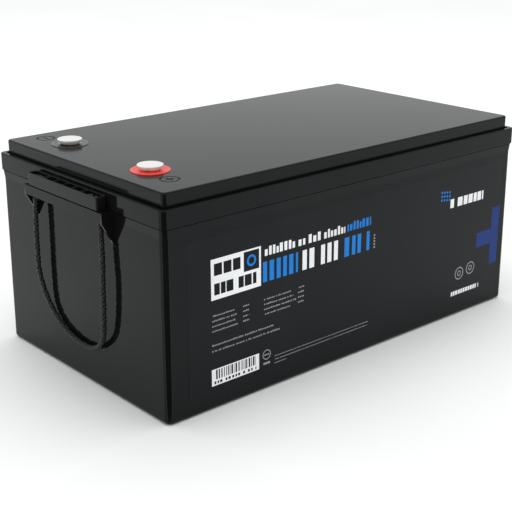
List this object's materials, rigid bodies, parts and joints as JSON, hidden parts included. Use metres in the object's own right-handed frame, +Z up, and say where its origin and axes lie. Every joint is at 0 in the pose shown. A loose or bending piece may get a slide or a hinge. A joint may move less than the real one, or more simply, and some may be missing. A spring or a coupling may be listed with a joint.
{
  "type": "battery pack",
  "caption": "Sealed deep-cycle battery pack with flat lid, two plugged insert terminals and a pull-up rope handle at each end.",
  "frame": {"origin": "centre of the base, on the surface it stands on", "axes": "+X along the length away from the terminals, +Y away from the label side, +Z up"},
  "size_m": [0.5152, 0.279, 0.2232],
  "materials": {
    "gloss_black_abs": "high gloss",
    "lid_black_abs": "high gloss",
    "glue_black": "satin",
    "grip_black": "satin",
    "rope_black": "braided",
    "ring_red": "satin",
    "ring_black": "satin",
    "brass": "machined",
    "seal_rubber": "matt",
    "plug_white": "satin",
    "label_film": "gloss film",
    "foam_grey": "foam",
    "cell_blue": "blue wrap",
    "insulation_card": "card",
    "aluminium": "satin",
    "copper": "bright",
    "steel_strap": "satin",
    "board_green": "satin",
    "wire_red": "satin",
    "wire_black": "satin",
    "wire_yellow": "satin"
  },
  "bodies": {
    "pack": {"balance_harness": "wire_yellow", "board_heat_sink": "aluminium", "busbar_1": "copper", "busbar_2": "copper", "busbar_3": "copper", "cable_board": "wire_black", "cable_negative": "wire_black", "cable_positive": "wire_red", "case": "gloss_black_abs", "cell_1": "cell_blue", "cell_2": "cell_blue", "cell_3": "cell_blue", "cell_4": "cell_blue", "cell_sheet_1": "insulation_card", "cell_sheet_2": "insulation_card", "cell_sheet_3": "insulation_card", "end_plate_front": "aluminium", "end_plate_rear": "aluminium", "foam_far_end": "foam_grey", "foam_floor": "foam_grey", "foam_side_back": "foam_grey", "foam_side_label": "foam_grey", "glue_bead": "glue_black", "label_film": "label_film", "lid": "lid_black_abs", "management_board": "board_green", "strap_high": "steel_strap", "strap_low": "steel_strap", "temperature_probe": "wire_yellow", "terminal_plug_negative": "plug_white", "terminal_plug_positive": "plug_white", "terminal_post_negative": "brass", "terminal_post_positive": "brass", "terminal_ring_negative": "ring_black", "terminal_ring_positive": "ring_red", "terminal_seal_negative": "seal_rubber", "terminal_seal_positive": "seal_rubber"},
    "handle_terminal_end": {"grip_terminal_end": "grip_black", "rope_terminal_end": "rope_black"},
    "handle_far_end": {"grip_far_end": "grip_black", "rope_far_end": "rope_black"}
  },
  "joints": [
    {"name": "grip_terminal_end_slide", "type": "slide", "parent": "pack", "child": "handle_terminal_end", "axis": [0, 0, 1], "range_m": [0, 0.07]},
    {"name": "grip_far_end_slide", "type": "slide", "parent": "pack", "child": "handle_far_end", "axis": [0, 0, 1], "range_m": [0, 0.07]}
  ]
}
